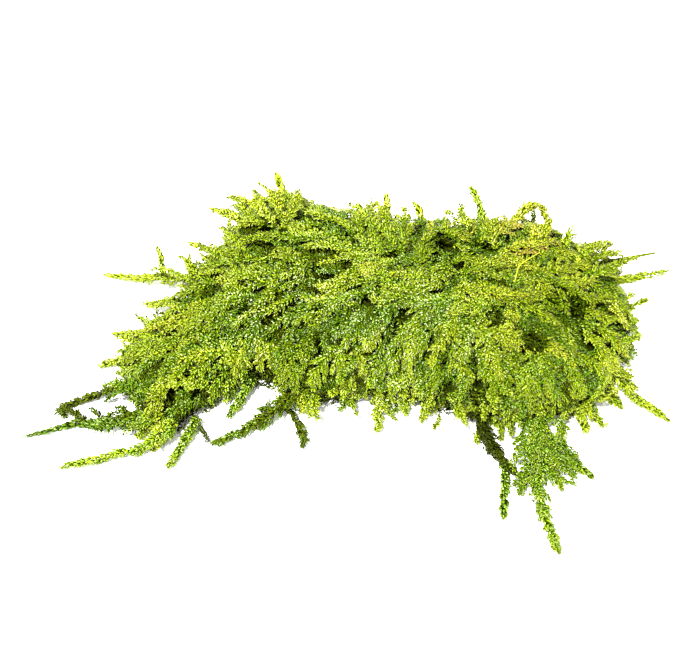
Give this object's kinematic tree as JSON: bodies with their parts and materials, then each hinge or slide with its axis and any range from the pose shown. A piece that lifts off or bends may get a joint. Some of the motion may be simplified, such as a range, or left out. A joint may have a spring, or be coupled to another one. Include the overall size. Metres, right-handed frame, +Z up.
{
  "type": "moss clump",
  "caption": "Tangled oblong clump of leafy aquatic moss laid flat, a low lumpy mat with thin leafy shoots trailing from its edges.",
  "frame": {"origin": "middle of the clump's box at the surface it rests on", "axes": "+X along the clump's long side, +Y towards its back edge, +Z up from the surface it rests on"},
  "size_m": [0.12, 0.0802, 0.0179],
  "materials": {
    "leafy_moss": null,
    "old_moss": "wet, dark green older shoots with few leaves",
    "bare_stem": "satin, a thin bare stem"
  },
  "bodies": {
    "root": {"back_left_low_twig": "leafy_moss", "back_left_middle_twig": "leafy_moss", "back_left_spike": "leafy_moss", "back_left_upper_twig": "leafy_moss", "back_middle_curl": "leafy_moss", "back_middle_tuft": "leafy_moss", "back_right_arch": "leafy_moss", "back_right_spire": "leafy_moss", "front_left_shoot": "leafy_moss", "front_left_spike": "leafy_moss", "front_left_stem": "old_moss", "front_left_stem_tip": "old_moss", "front_middle_tuft": "leafy_moss", "front_right_long_shoot": "leafy_moss", "front_right_side_shoot": "leafy_moss", "front_right_stem": "old_moss", "front_right_twig": "leafy_moss", "front_twig": "old_moss", "left_back_spike": "leafy_moss", "left_bent_shoot": "old_moss", "left_front_shoot": "leafy_moss", "left_front_spike": "leafy_moss", "left_long_shoot": "leafy_moss", "left_middle_spike": "leafy_moss", "left_upper_shoot": "leafy_moss", "left_upper_twig": "leafy_moss", "moss_mat": "leafy_moss", "right_back_stem": "bare_stem", "right_back_tuft": "leafy_moss", "right_front_tuft": "leafy_moss", "right_front_twig": "leafy_moss", "right_low_shoot": "leafy_moss", "right_middle_shoot": "leafy_moss", "right_upper_shoot": "leafy_moss"}
  },
  "joints": []
}
